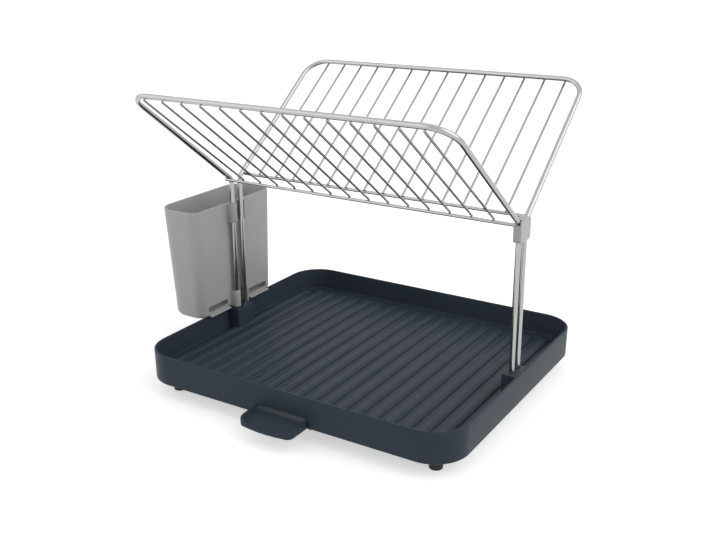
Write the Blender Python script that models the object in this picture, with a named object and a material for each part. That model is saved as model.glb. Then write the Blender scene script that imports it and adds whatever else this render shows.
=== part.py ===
# Dish drainer: a ribbed tray on rubber feet with a pull-out spout, two bent-rod wings of
# wires that stand in the tray on four legs, a clip that joins the right legs, and a caddy
# for cutlery that hangs on the left legs.
# Metres, +Z up, +X to the right along the front side and +Y to the back. The origin is on the
# table, under the middle of the whole drainer. Places in the sizes and functions below count
# from the middle of the tray, and one empty that carries everything moves them to the origin.

import math

import bmesh
import bpy
from mathutils import Vector

# Tray
TRAY_LENGTH = 0.401
TRAY_DEPTH = 0.350
TRAY_CORNER = 0.0408
RIM_HEIGHT = 0.054
SKIRT_HEIGHT = 0.018
TRAY_WALL = 0.0025
TRAY_LEAN = 0.0006
SKIRT_ROUNDING = 0.002
FLOOR_ABOVE_SKIRT = 0.008
FLOOR_THICKNESS = 0.0024
FLOOR_FILLET = 0.003
RIB_COUNT = 20
RIB_SIDE_SPACE = 0.0049
RIB_WIDTH = 0.0121
RIB_HEIGHT = 0.0027
RIB_SHOULDER = 0.0007
RIB_CROWN = 0.0002
RIB_FLANK = 0.0005
RIB_RAMP = 0.005
RIB_RAMP_SHARES = ((0.0, 0.1), (0.45, 0.75), (1.0, 1.0))
GUTTER_WIDTH = 0.0135
STIFFENER_WIDTH = 0.0018
STIFFENER_DEPTH = 0.0036
STIFFENER_ROWS = 4
STIFFENER_COLUMNS = 5

# Rubber feet and their bosses
FOOT_INSET_X = 0.0315
FOOT_INSET_Y = 0.0303
FOOT_DIAMETER = 0.0145
FOOT_ROUNDING = 0.0012
FOOT_STEM = 0.008
FOOT_STEM_LENGTH = 0.0075
FOOT_BOSS_WALL = 0.005
FOOT_BOSS_DROP = 0.004

# Rack rods, bars and wires
ROD_DIAMETER = 0.006
LEG_INSET = 0.0105
LEG_SPACING = 0.016
LEG_BEND_RADIUS = 0.010
WING_SLOPE = math.radians(37.4)
WING_REACH = 0.173
WING_HEIGHT = 0.3492
WING_CORNER = 0.027
BAR_DIAMETER = 0.0038
BAR_OVERHANG = 0.0002
BAR_ABOVE_BEND = 0.0092
WIRE_DIAMETER = 0.0026
WIRE_COUNT = 14
WIRE_END_BELOW_BAR = 0.0013
WIRE_END_PAST_TOP = 0.0004

# Leg sockets in the tray
SOCKET_DEPTH = 0.026
SOCKET_WALL = 0.0027
SOCKET_HALF_DEPTH = 0.01575
SOCKET_CORNER = 0.002
SOCKET_BELOW_RIM = 0.0004

# Clip on the right legs
CLIP_OUTER_WALL = 0.0014
CLIP_INNER_WALL = 0.0015
CLIP_HALF_DEPTH = 0.0134
CLIP_BELOW_BEND = 0.020
CLIP_ABOVE_BEND = 0.0005
CLIP_CROWN = 0.0048
CLIP_CORNER = 0.0035
CLIP_EDGE = 0.0008

# Caddy
CADDY_LEG_GAP = 0.0018
CADDY_CENTRE_Y = 0.0016
CADDY_WIDTH_TOP = 0.0604
CADDY_WIDTH_BOTTOM = 0.0524
CADDY_LENGTH_TOP = 0.1531
CADDY_LENGTH_BOTTOM = 0.1436
CADDY_HEIGHT = 0.1393
CADDY_BELOW_RIM = 0.0006
CADDY_RIM_ROOM = 0.0012
CADDY_NOTCH = 0.0065
CADDY_FOOT_RING = 0.0085
CADDY_WALL = 0.0022
CADDY_OUTER_CORNER = 0.0226
CADDY_INNER_CORNER = 0.0115
CADDY_ROUNDING = 0.006
CADDY_FLOOR_THICKNESS = 0.0022
CADDY_FLOOR_FILLET = 0.004
SLOT_LENGTH = 0.038
SLOT_REACH = 0.0398
SLOT_HEIGHT = 0.008
SLOT_ABOVE_FLOOR = 0.0014
LIP_REACH = 0.0048
LIP_THICKNESS = 0.0018
CLASP_LOW_HEIGHT = 0.0212
CLASP_HIGH_BELOW_TOP = 0.0252
CLASP_HIGH_HEIGHT = 0.0247
CLASP_WALL = 0.002
CLASP_WRAP = math.radians(50)

# Spout
SPOUT_WIDTH = 0.0672
SPOUT_FRONT = 0.0335
SPOUT_BULGE = 0.0022
SPOUT_CORNER = 0.008
SPOUT_ROUNDING = 0.0018
SPOUT_TAIL = 0.010
SPOUT_TRAVEL = 0.028
SPOUT_RIM = 0.0014
SPOUT_DRAFT = 0.004
SPOUT_FOOT = 0.0032
SPOUT_RIM_ABOVE_FLOOR = 0.0034
SPOUT_LIP_HEIGHT = 0.0028
SPOUT_BROW = 0.026
SPOUT_DISH_HEIGHT = 0.0019
SPOUT_SHELL = 0.0015
WELL_FLOOR_THICKNESS = 0.0016
WELL_WALL = 0.0018
WELL_END_GAP = 0.0006
NOTCH_CORNER = 0.003

# Clearances
SEAT_GAP = 0.0003
SLIDE_GAP = 0.0004
CUT_OVERRUN = 0.004
SINK = 0.0008
MERGE_DISTANCE = 0.00003

# Numbers of facets
CORNER_STEPS = 10
EDGE_STEPS = 3
RIM_STEPS = 4
BEND_STEPS = 6
WING_CORNER_STEPS = 8
ROUND_STEPS = 20
HOLE_STEPS = 16
ROD_RESOLUTION = 4
WIRE_RESOLUTION = 2
SPOUT_STEPS = 8
CLASP_STEPS = 8
DOME_STEPS = 8

# Values that follow from the sizes above
ROD_RADIUS = ROD_DIAMETER / 2
BAR_RADIUS = BAR_DIAMETER / 2
WIRE_RADIUS = WIRE_DIAMETER / 2
LEG_REACH_X = TRAY_LENGTH / 2 - LEG_INSET
LEG_Y = LEG_SPACING / 2
LEG_FOOT = RIM_HEIGHT - SOCKET_DEPTH
FLOOR_LEVEL = SKIRT_HEIGHT + FLOOR_ABOVE_SKIRT
FLOOR_UNDER = FLOOR_LEVEL - FLOOR_THICKNESS
RIB_PITCH = (TRAY_LENGTH - 2 * RIB_SIDE_SPACE) / RIB_COUNT
FOOT_REACH_X = TRAY_LENGTH / 2 - FOOT_INSET_X
FOOT_REACH_Y = TRAY_DEPTH / 2 - FOOT_INSET_Y
LEAN_PER_HEIGHT = TRAY_LEAN / (RIM_HEIGHT - SKIRT_HEIGHT)
BEND_HEIGHT = WING_HEIGHT - (WING_REACH - LEG_Y) * math.tan(WING_SLOPE)
WING_LENGTH = (WING_REACH - LEG_Y) / math.cos(WING_SLOPE)
WIRE_PITCH = 2 * LEG_REACH_X / (WIRE_COUNT + 1)
CLIP_BOTTOM = BEND_HEIGHT - CLIP_BELOW_BEND
CLIP_SHOULDER = BEND_HEIGHT + CLIP_ABOVE_BEND
CADDY_WALL_X = -LEG_REACH_X - ROD_RADIUS - CADDY_LEG_GAP
CADDY_BOTTOM = RIM_HEIGHT - CADDY_BELOW_RIM
CADDY_TOP = CADDY_BOTTOM + CADDY_HEIGHT
CLASP_HIGH_BOTTOM = CADDY_TOP - CLASP_HIGH_BELOW_TOP
FRONT_FACE_Y = -TRAY_DEPTH / 2
FOOT_HEIGHT = SKIRT_HEIGHT - FOOT_BOSS_DROP - SEAT_GAP
WELL_LEVEL = SKIRT_HEIGHT - SEAT_GAP
SPOUT_RIM_LEVEL = FLOOR_LEVEL + SPOUT_RIM_ABOVE_FLOOR
SPOUT_LIP_LEVEL = SKIRT_HEIGHT + SPOUT_LIP_HEIGHT
SPOUT_DISH_LEVEL = SKIRT_HEIGHT + SPOUT_DISH_HEIGHT
WELL_HALF = SPOUT_WIDTH / 2 + SLIDE_GAP
WELL_BACK = FRONT_FACE_Y + TRAY_WALL + SPOUT_TAIL + SPOUT_TRAVEL + WELL_END_GAP
MIDDLE_X = (TRAY_LENGTH / 2 + CADDY_WALL_X - CADDY_WIDTH_TOP) / 2
WIRE_OUTER_FACE = ROD_RADIUS + SEAT_GAP + WIRE_DIAMETER
WIRE_END_Y = WIRE_END_PAST_TOP * math.cos(WING_SLOPE) + WIRE_OUTER_FACE * math.sin(WING_SLOPE)
MIDDLE_Y = (WING_REACH + WIRE_END_Y + FRONT_FACE_Y - SPOUT_FRONT) / 2

MATERIALS = {
    "tray_plastic": ((0.041, 0.055, 0.071), 0.55, 0.0),
    "caddy_plastic": ((0.32, 0.32, 0.32), 0.50, 0.0),
    "clip_plastic": ((0.46, 0.46, 0.46), 0.45, 0.0),
    "steel": ((0.62, 0.62, 0.62), 0.25, 1.0),
    "rubber": ((0.008, 0.009, 0.010), 0.70, 0.0),
}


def clear_scene():
    for item in list(bpy.data.objects):
        bpy.data.objects.remove(item, do_unlink=True)


def finish_material(name, finish):
    colour, roughness, metallic = MATERIALS[finish]
    material = bpy.data.materials.new(name + "_" + finish)
    material.use_nodes = True
    shader = material.node_tree.nodes["Principled BSDF"]
    shader.inputs["Base Color"].default_value = (*colour, 1.0)
    shader.inputs["Roughness"].default_value = roughness
    shader.inputs["Metallic"].default_value = metallic
    return material


def add_empty(name, location, parent=None):
    holder = bpy.data.objects.new(name, None)
    holder.location = location
    holder.parent = parent
    bpy.context.scene.collection.objects.link(holder)
    return holder


def add_object(name, data, finish, parent=None, location=(0, 0, 0)):
    item = bpy.data.objects.new(name, data)
    item.location = location
    item.parent = parent
    if finish:
        data.materials.append(finish_material(name, finish))
    bpy.context.scene.collection.objects.link(item)
    return item


def mesh_from(name, bm, smooth_angle=math.radians(35)):
    bmesh.ops.recalc_face_normals(bm, faces=bm.faces)
    mesh = bpy.data.meshes.new(name)
    bm.to_mesh(mesh)
    bm.free()
    mesh.shade_smooth()
    mesh.set_sharp_from_angle(angle=smooth_angle)
    return mesh


def add_cutter(name, bm, parent=None):
    cutter = add_object(name, mesh_from(name, bm), None, parent)
    cutter.hide_render = True
    cutter.display_type = "WIRE"
    return cutter


def combine(item, operand, operation):
    operand.parent = item.parent
    step = item.modifiers.new(operand.name, "BOOLEAN")
    step.operation = operation
    step.object = operand
    step.solver = "EXACT"


def arc(centre, radius, start, end, steps):
    points = []
    for i in range(steps + 1):
        angle = start + (end - start) * i / steps
        points.append((centre[0] + radius * math.cos(angle), centre[1] + radius * math.sin(angle)))
    return points


def rounded_outline(x0, x1, y0, y1, radii, steps=CORNER_STEPS):
    # radii run from the low-x low-y corner anticlockwise
    quarter = math.pi / 2
    centres = (
        (x0 + radii[0], y0 + radii[0]),
        (x1 - radii[1], y0 + radii[1]),
        (x1 - radii[2], y1 - radii[2]),
        (x0 + radii[3], y1 - radii[3]),
    )
    points = []
    for corner, centre in enumerate(centres):
        start = math.pi + corner * quarter
        points += arc(centre, radii[corner], start, start + quarter, steps)
    return points


def loft(bm, rings):
    # joins rings of equal point counts and closes the first and the last
    loops = [[bm.verts.new(point) for point in ring] for ring in rings]
    count = len(loops[0])
    for lower, upper in zip(loops, loops[1:]):
        for i in range(count):
            j = (i + 1) % count
            bm.faces.new((lower[i], lower[j], upper[j], upper[i]))
    bm.faces.new(list(reversed(loops[0])))
    bm.faces.new(loops[-1])


def prism(bm, outline, low, high, axis="z"):
    # an outline of two coordinates, extruded along the third
    place = {
        "x": lambda a, b, c: (c, a, b),
        "y": lambda a, b, c: (a, c, b),
        "z": lambda a, b, c: (a, b, c),
    }[axis]
    loft(bm, [[place(a, b, height) for a, b in outline] for height in (low, high)])


def box(bm, x0, x1, y0, y1, z0, z1):
    prism(bm, [(x0, y0), (x1, y0), (x1, y1), (x0, y1)], z0, z1)


def cylinder(bm, centre, radius, z0, z1, steps=HOLE_STEPS):
    outline = arc(centre, radius, 0, 2 * math.pi * (steps - 1) / steps, steps - 1)
    prism(bm, outline, z0, z1)


def tray_lean(z):
    return (RIM_HEIGHT - z) * LEAN_PER_HEIGHT


def tray_ring(inset, z):
    half_x = TRAY_LENGTH / 2 - inset
    half_y = TRAY_DEPTH / 2 - inset
    outline = rounded_outline(-half_x, half_x, -half_y, half_y, [TRAY_CORNER - inset] * 4)
    return [(x, y, z) for x, y in outline]


def tray_wall_profile():
    # inset from the rim's outer line and height, from the underside round to the floor
    skirt_inner = tray_lean(SKIRT_HEIGHT) + TRAY_WALL
    profile = [
        (tray_lean(FLOOR_UNDER) + TRAY_WALL, FLOOR_UNDER),
        (skirt_inner, SKIRT_HEIGHT),
    ]
    edge = (tray_lean(SKIRT_HEIGHT) + SKIRT_ROUNDING, SKIRT_HEIGHT + SKIRT_ROUNDING)
    profile += arc(edge, SKIRT_ROUNDING, math.radians(270), math.radians(180), EDGE_STEPS)
    half_wall = TRAY_WALL / 2
    profile += arc((half_wall, RIM_HEIGHT - half_wall), half_wall, math.pi, 0, RIM_STEPS)
    foot = (tray_lean(FLOOR_LEVEL) + TRAY_WALL + FLOOR_FILLET, FLOOR_LEVEL + FLOOR_FILLET)
    profile += arc(foot, FLOOR_FILLET, math.radians(180), math.radians(270), EDGE_STEPS)
    return profile


def rib_half_length(x):
    # a rib stops at the gutter, and earlier where the tray's corner turns in
    inner_wall = tray_lean(FLOOR_LEVEL) + TRAY_WALL
    straight = TRAY_DEPTH / 2 - inner_wall - FLOOR_FILLET - GUTTER_WIDTH
    past_corner = abs(x) + RIB_WIDTH / 2 - (TRAY_LENGTH / 2 - TRAY_CORNER)
    if past_corner <= 0:
        return straight
    turn = TRAY_CORNER - inner_wall - RIB_FLANK
    rise = math.sqrt(turn * turn - past_corner * past_corner)
    return min(straight, TRAY_DEPTH / 2 - TRAY_CORNER + rise - RIB_RAMP)


def add_rib(bm, x):
    half = RIB_WIDTH / 2
    side = [
        (half + RIB_FLANK, -SINK),
        (half, RIB_HEIGHT - RIB_SHOULDER),
        (half - RIB_SHOULDER, RIB_HEIGHT - RIB_CROWN),
    ]
    section = [(-across, up) for across, up in side] + [(0, RIB_HEIGHT)]
    section += [(across, up) for across, up in reversed(side)]
    length = rib_half_length(x)
    stations = [(-length + along * RIB_RAMP, up) for along, up in RIB_RAMP_SHARES]
    stations += [(-y, up) for y, up in reversed(stations)]
    rings = []
    for y, lift in stations:
        rings.append([(x + across, y, FLOOR_LEVEL - SINK + (up + SINK) * lift) for across, up in section])
    loft(bm, rings)


def tray_ribs():
    bm = bmesh.new()
    for i in range(RIB_COUNT):
        add_rib(bm, (i - (RIB_COUNT - 1) / 2) * RIB_PITCH)
    return add_cutter("tray_ribs_guide", bm)


def tray_bosses():
    # leg sockets on the side walls and foot bosses under the floor
    bm = bmesh.new()
    inner = LEG_REACH_X - ROD_RADIUS - SEAT_GAP - SOCKET_WALL
    outer = TRAY_LENGTH / 2 - TRAY_WALL / 2
    low = FLOOR_LEVEL - SINK
    top = RIM_HEIGHT - SOCKET_BELOW_RIM
    for side in (-1, 1):
        x0, x1 = sorted((side * inner, side * outer))
        outline = rounded_outline(
            x0, x1, -SOCKET_HALF_DEPTH, SOCKET_HALF_DEPTH, [SOCKET_CORNER] * 4, EDGE_STEPS
        )
        prism(bm, outline, low, top)
        for end in (-1, 1):
            centre = (side * FOOT_REACH_X, end * FOOT_REACH_Y)
            radius = FOOT_STEM / 2 + FOOT_BOSS_WALL
            cylinder(bm, centre, radius, SKIRT_HEIGHT - FOOT_BOSS_DROP, FLOOR_UNDER + SINK, ROUND_STEPS)
    return add_cutter("tray_bosses_guide", bm)


def tray_stiffeners():
    # a grid of thin ribs under the floor
    bm = bmesh.new()
    low = FLOOR_UNDER - STIFFENER_DEPTH
    top = FLOOR_UNDER + SINK
    half = STIFFENER_WIDTH / 2
    reach_x = TRAY_LENGTH / 2 - TRAY_LEAN - TRAY_WALL / 2
    reach_y = TRAY_DEPTH / 2 - TRAY_LEAN - TRAY_WALL / 2
    for row in range(STIFFENER_ROWS):
        y = ((row + 0.5) / STIFFENER_ROWS - 0.5) * TRAY_DEPTH
        box(bm, -reach_x, reach_x, y - half, y + half, low, top)
    rows = add_cutter("tray_stiffener_rows_guide", bm)
    bm = bmesh.new()
    for column in range(STIFFENER_COLUMNS):
        x = ((column + 0.5) / STIFFENER_COLUMNS - 0.5) * TRAY_LENGTH
        if abs(x) > WELL_HALF:
            box(bm, x - half, x + half, -reach_y, reach_y, low - SINK, top)
    return rows, add_cutter("tray_stiffener_columns_guide", bm)


def spout_well():
    # the sealed trough under the floor in which the spout slides
    bm = bmesh.new()
    front = FRONT_FACE_Y + TRAY_LEAN + TRAY_WALL
    box(
        bm,
        -WELL_HALF - WELL_WALL,
        WELL_HALF + WELL_WALL,
        front,
        WELL_BACK + WELL_WALL,
        WELL_LEVEL - WELL_FLOOR_THICKNESS,
        FLOOR_UNDER + SINK,
    )
    return add_cutter("tray_well_guide", bm)


def tray_cuts():
    bm = bmesh.new()
    top = RIM_HEIGHT + CUT_OVERRUN
    for side in (-1, 1):
        for end in (-1, 1):
            cylinder(bm, (side * LEG_REACH_X, end * LEG_Y), ROD_RADIUS + SEAT_GAP, LEG_FOOT, top)
            centre = (side * FOOT_REACH_X, end * FOOT_REACH_Y)
            low = SKIRT_HEIGHT - FOOT_BOSS_DROP
            depth = FOOT_STEM_LENGTH + SEAT_GAP
            cylinder(bm, centre, FOOT_STEM / 2 + SEAT_GAP, low - CUT_OVERRUN, low + depth)
    return add_cutter("tray_bores_guide", bm)


def spout_opening():
    # the well's own space, open to the floor above, and the notch through the front wall
    bm = bmesh.new()
    inside = FRONT_FACE_Y + TRAY_WALL + tray_lean(FLOOR_LEVEL)
    top = SPOUT_RIM_LEVEL + SEAT_GAP
    box(bm, -WELL_HALF, WELL_HALF, inside, WELL_BACK, WELL_LEVEL, RIM_HEIGHT)
    well = add_cutter("tray_well_cut_guide", bm)
    bm = bmesh.new()
    low = WELL_LEVEL - WELL_FLOOR_THICKNESS - CUT_OVERRUN
    outline = rounded_outline(-WELL_HALF, WELL_HALF, low, top, [NOTCH_CORNER] * 4, EDGE_STEPS)
    prism(bm, outline, FRONT_FACE_Y - CUT_OVERRUN, FRONT_FACE_Y + TRAY_LEAN + TRAY_WALL, "y")
    return well, add_cutter("tray_notch_guide", bm)


def build_tray(drainer):
    bm = bmesh.new()
    loft(bm, [tray_ring(inset, z) for inset, z in tray_wall_profile()])
    tray = add_object("tray", mesh_from("tray", bm), "tray_plastic", drainer)
    combine(tray, tray_ribs(), "UNION")
    combine(tray, tray_bosses(), "UNION")
    for guide in tray_stiffeners():
        combine(tray, guide, "UNION")
    combine(tray, spout_well(), "UNION")
    combine(tray, tray_cuts(), "DIFFERENCE")
    for guide in spout_opening():
        combine(tray, guide, "DIFFERENCE")
    return tray


def foot_mesh():
    # a turned rubber foot with a stem that is pressed into the tray's boss
    radius = FOOT_DIAMETER / 2
    stem = FOOT_STEM / 2
    top = FOOT_HEIGHT + FOOT_STEM_LENGTH
    profile = [(0, 0)]
    centre = (radius - FOOT_ROUNDING, FOOT_ROUNDING)
    profile += arc(centre, FOOT_ROUNDING, math.radians(270), math.radians(360), EDGE_STEPS)
    profile += [(radius, FOOT_HEIGHT), (stem, FOOT_HEIGHT), (stem, top), (0, top)]
    bm = bmesh.new()
    points = [bm.verts.new((r, 0, z)) for r, z in profile]
    edges = [bm.edges.new(pair) for pair in zip(points, points[1:])]
    bmesh.ops.spin(
        bm,
        geom=points + edges,
        axis=(0, 0, 1),
        cent=(0, 0, 0),
        angle=2 * math.pi,
        steps=ROUND_STEPS,
        use_merge=True,
    )
    bmesh.ops.remove_doubles(bm, verts=bm.verts, dist=MERGE_DISTANCE)
    return mesh_from("foot", bm)


def build_feet(drainer):
    for depth, end in (("front", -1), ("back", 1)):
        for width, side in (("left", -1), ("right", 1)):
            name = "foot_" + depth + "_" + width
            place = (side * FOOT_REACH_X, end * FOOT_REACH_Y, 0)
            add_object(name, foot_mesh(), "rubber", drainer, place)


def wing_point(x, along, out, side):
    # along the slope from the legs' bend, out of the wing's rods on its lower side
    y = LEG_Y + along * math.cos(WING_SLOPE) + out * math.sin(WING_SLOPE)
    z = BEND_HEIGHT + along * math.sin(WING_SLOPE) - out * math.cos(WING_SLOPE)
    return Vector((x, side * y, z))


def leg_bend(x, side):
    # the leg's top, turned outwards through the complement of the slope
    turn = math.pi / 2 - WING_SLOPE
    start = BEND_HEIGHT - LEG_BEND_RADIUS * math.tan(turn / 2)
    points = []
    for i in range(BEND_STEPS + 1):
        angle = turn * i / BEND_STEPS
        y = LEG_Y + LEG_BEND_RADIUS * (1 - math.cos(angle))
        z = start + LEG_BEND_RADIUS * math.sin(angle)
        points.append(Vector((x, side * y, z)))
    return points


def half_frame_path(side):
    # from the foot of the right leg to the end of the corner at the top bar
    points = [Vector((LEG_REACH_X, side * LEG_Y, LEG_FOOT + SEAT_GAP))]
    points += leg_bend(LEG_REACH_X, side)
    centre_x = LEG_REACH_X - WING_CORNER
    centre_along = WING_LENGTH - WING_CORNER
    for x, along in arc((centre_x, centre_along), WING_CORNER, 0, math.pi / 2, WING_CORNER_STEPS):
        points.append(wing_point(x, along, 0, side))
    return points


def tube(name, points, radius, resolution):
    curve = bpy.data.curves.new(name, "CURVE")
    curve.dimensions = "3D"
    curve.bevel_depth = radius
    curve.bevel_resolution = resolution
    curve.use_fill_caps = True
    spline = curve.splines.new("POLY")
    spline.points.add(len(points) - 1)
    for target, point in zip(spline.points, points):
        target.co = (*point, 1)
        target.radius = 1
    return curve


def build_wing(name, side, rack):
    half = half_frame_path(side)
    other = [Vector((-point.x, point.y, point.z)) for point in reversed(half)]
    path = half + other
    add_object(name + "_frame", tube(name + "_frame", path, ROD_RADIUS, ROD_RESOLUTION), "steel", rack)

    bar_out = ROD_RADIUS + SEAT_GAP + BAR_RADIUS
    reach = LEG_REACH_X + BAR_OVERHANG
    ends = [wing_point(x, BAR_ABOVE_BEND, bar_out, side) for x in (-reach, reach)]
    add_object(name + "_bar", tube(name + "_bar", ends, BAR_RADIUS, WIRE_RESOLUTION), "steel", rack)

    low_out = bar_out - BAR_RADIUS - SEAT_GAP - WIRE_RADIUS
    high_out = ROD_RADIUS + SEAT_GAP + WIRE_RADIUS
    low = BAR_ABOVE_BEND - WIRE_END_BELOW_BAR
    high = WING_LENGTH + WIRE_END_PAST_TOP
    for i in range(WIRE_COUNT):
        x = (i - (WIRE_COUNT - 1) / 2) * WIRE_PITCH
        ends = [wing_point(x, low, low_out, side), wing_point(x, high, high_out, side)]
        wire = name + "_wire_" + str(i + 1).zfill(2)
        add_object(wire, tube(wire, ends, WIRE_RADIUS, WIRE_RESOLUTION), "steel", rack)


def channel_outline(side, radius):
    # the rod's own band in the plane of the leg and the wing
    path = [Vector((LEG_REACH_X, side * LEG_Y, CLIP_BOTTOM - CUT_OVERRUN))] + leg_bend(LEG_REACH_X, side)
    path.append(wing_point(LEG_REACH_X, CLIP_HALF_DEPTH * 2, 0, side))
    left = []
    right = []
    for i, point in enumerate(path):
        before = path[max(i - 1, 0)]
        after = path[min(i + 1, len(path) - 1)]
        run = (after - before).normalized()
        left.append((point.y - run.z * radius, point.z + run.y * radius))
        right.append((point.y + run.z * radius, point.z - run.y * radius))
    return left + list(reversed(right))


def clip_channels():
    # each rod's bed in the clip, open towards the middle of the rack so that the clip pulls off
    bm = bmesh.new()
    radius = ROD_RADIUS + SEAT_GAP
    inner = LEG_REACH_X - ROD_RADIUS - CLIP_INNER_WALL - CUT_OVERRUN
    for side in (-1, 1):
        prism(bm, channel_outline(side, radius), inner, LEG_REACH_X + radius, "x")
    return add_cutter("clip_channels_guide", bm)


def build_clip(rack):
    holder = add_empty("clip_pull", (0, 0, 0), rack)
    x0 = LEG_REACH_X - ROD_RADIUS - CLIP_INNER_WALL
    x1 = LEG_REACH_X + ROD_RADIUS + SEAT_GAP + CLIP_OUTER_WALL
    y = CLIP_HALF_DEPTH
    outline = arc(
        (-y + CLIP_CORNER, CLIP_BOTTOM + CLIP_CORNER), CLIP_CORNER, math.pi, math.pi * 1.5, EDGE_STEPS
    )
    outline += arc(
        (y - CLIP_CORNER, CLIP_BOTTOM + CLIP_CORNER), CLIP_CORNER, -math.pi / 2, 0, EDGE_STEPS
    )
    dome_radius = (y * y + CLIP_CROWN * CLIP_CROWN) / (2 * CLIP_CROWN)
    spread = math.asin(y / dome_radius)
    centre = (0, CLIP_SHOULDER + CLIP_CROWN - dome_radius)
    outline += arc(centre, dome_radius, math.pi / 2 - spread, math.pi / 2 + spread, DOME_STEPS)
    bm = bmesh.new()
    prism(bm, outline, x0, x1, "x")
    clip = add_object("clip", mesh_from("clip", bm), "clip_plastic", holder)
    edge = clip.modifiers.new("edges", "BEVEL")
    edge.width = CLIP_EDGE
    edge.segments = 2
    edge.limit_method = "ANGLE"
    edge.angle_limit = math.radians(50)
    combine(clip, clip_channels(), "DIFFERENCE")
    return clip


def caddy_ring(inset, z):
    share = (z - CADDY_BOTTOM) / (CADDY_TOP - CADDY_BOTTOM)
    width = CADDY_WIDTH_BOTTOM + (CADDY_WIDTH_TOP - CADDY_WIDTH_BOTTOM) * share
    half = (CADDY_LENGTH_BOTTOM + (CADDY_LENGTH_TOP - CADDY_LENGTH_BOTTOM) * share) / 2
    outer = CADDY_OUTER_CORNER - inset
    inner = CADDY_INNER_CORNER - inset
    outline = rounded_outline(
        CADDY_WALL_X - width + inset,
        CADDY_WALL_X - inset,
        CADDY_CENTRE_Y - half + inset,
        CADDY_CENTRE_Y + half - inset,
        (outer, inner, inner, outer),
    )
    return [(x, y, z) for x, y in outline]


def caddy_profile():
    # inset and height, from the recess under the floor round to the floor inside
    under = CADDY_BOTTOM + CADDY_FLOOR_THICKNESS
    profile = [(CADDY_FOOT_RING, under), (CADDY_FOOT_RING, CADDY_BOTTOM)]
    edge = (CADDY_ROUNDING, CADDY_BOTTOM + CADDY_ROUNDING)
    profile += arc(edge, CADDY_ROUNDING, math.radians(270), math.radians(180), EDGE_STEPS)
    half = CADDY_WALL / 2
    profile += arc((half, CADDY_TOP - half), half, math.pi, 0, RIM_STEPS)
    floor = under + CADDY_FLOOR_THICKNESS
    foot = (CADDY_WALL + CADDY_FLOOR_FILLET, floor + CADDY_FLOOR_FILLET)
    profile += arc(foot, CADDY_FLOOR_FILLET, math.radians(180), math.radians(270), EDGE_STEPS)
    return profile


def slot_spans():
    spans = []
    for end in (-1, 1):
        middle = CADDY_CENTRE_Y + end * SLOT_REACH
        spans.append((middle - SLOT_LENGTH / 2, middle + SLOT_LENGTH / 2))
    return spans


def caddy_additions(holder):
    # sleeves that clasp the front leg, ribs behind the back leg and lips over the tray's rim
    bm = bmesh.new()
    wall_x = CADDY_WALL_X - CADDY_WALL / 2
    leg = (-LEG_REACH_X, -LEG_Y)
    bore = ROD_RADIUS + SEAT_GAP
    hook = [(wall_x, -LEG_Y - bore - CLASP_WALL)]
    hook += arc(leg, bore + CLASP_WALL, -math.pi / 2, CLASP_WRAP, CLASP_STEPS)
    hook += arc(leg, bore, CLASP_WRAP, -math.pi / 2, CLASP_STEPS)
    hook.append((wall_x, -LEG_Y - bore))
    back_in = LEG_Y + ROD_RADIUS + SEAT_GAP
    low = RIM_HEIGHT + CADDY_RIM_ROOM
    levels = ((low, low + CLASP_LOW_HEIGHT), (CLASP_HIGH_BOTTOM, CLASP_HIGH_BOTTOM + CLASP_HIGH_HEIGHT))
    for z0, z1 in levels:
        prism(bm, hook, z0, z1)
        box(bm, wall_x, -LEG_REACH_X + ROD_RADIUS, back_in, back_in + CLASP_WALL, z0, z1)
    for y0, y1 in slot_spans():
        box(bm, CADDY_WALL_X - CADDY_FLOOR_FILLET, CADDY_WALL_X + LIP_REACH, y0, y1, low, low + LIP_THICKNESS)
    return add_cutter("caddy_fittings_guide", bm, holder)


def caddy_cuts(holder):
    # drain slots over the tray, and room for the tray's rim under the inner wall
    bm = bmesh.new()
    floor = CADDY_BOTTOM + 2 * CADDY_FLOOR_THICKNESS
    low = floor + SLOT_ABOVE_FLOOR
    for y0, y1 in slot_spans():
        box(
            bm,
            CADDY_WALL_X - CADDY_WALL - CADDY_FLOOR_FILLET,
            CADDY_WALL_X + CUT_OVERRUN,
            y0,
            y1,
            low,
            low + SLOT_HEIGHT,
        )
    slots = add_cutter("caddy_slots_guide", bm, holder)
    bm = bmesh.new()
    reach = CADDY_LENGTH_TOP
    outside = -TRAY_LENGTH / 2 - CADDY_NOTCH
    low = CADDY_BOTTOM - CUT_OVERRUN
    box(bm, outside, CADDY_WALL_X + CUT_OVERRUN, -reach, reach, low, RIM_HEIGHT + CADDY_RIM_ROOM)
    return slots, add_cutter("caddy_rim_guide", bm, holder)


def build_caddy(rack):
    holder = add_empty("caddy_lift", (0, 0, 0), rack)
    bm = bmesh.new()
    loft(bm, [caddy_ring(inset, z) for inset, z in caddy_profile()])
    caddy = add_object("caddy", mesh_from("caddy", bm), "caddy_plastic", holder)
    combine(caddy, caddy_additions(holder), "UNION")
    for guide in caddy_cuts(holder):
        combine(caddy, guide, "DIFFERENCE")
    return caddy


def spout_plan(inset, draft=0):
    # front edge bowed forwards between rounded corners, from the tail to the front
    half = SPOUT_WIDTH / 2 - inset - draft
    front = FRONT_FACE_Y - SPOUT_FRONT + inset
    radius = SPOUT_CORNER - inset
    corner_y = front + SPOUT_BULGE + radius
    tail = FRONT_FACE_Y + TRAY_WALL + SPOUT_TAIL
    outline = [(half, tail), (-half, tail)]
    outline += arc((-half + radius, corner_y), radius, math.pi, math.pi * 1.5, EDGE_STEPS)
    for i in range(1, SPOUT_STEPS):
        share = 2 * i / SPOUT_STEPS - 1
        outline.append(((half - radius) * share, front + SPOUT_BULGE * share * share))
    outline += arc((half - radius, corner_y), radius, -math.pi / 2, 0, EDGE_STEPS)
    return outline


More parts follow.
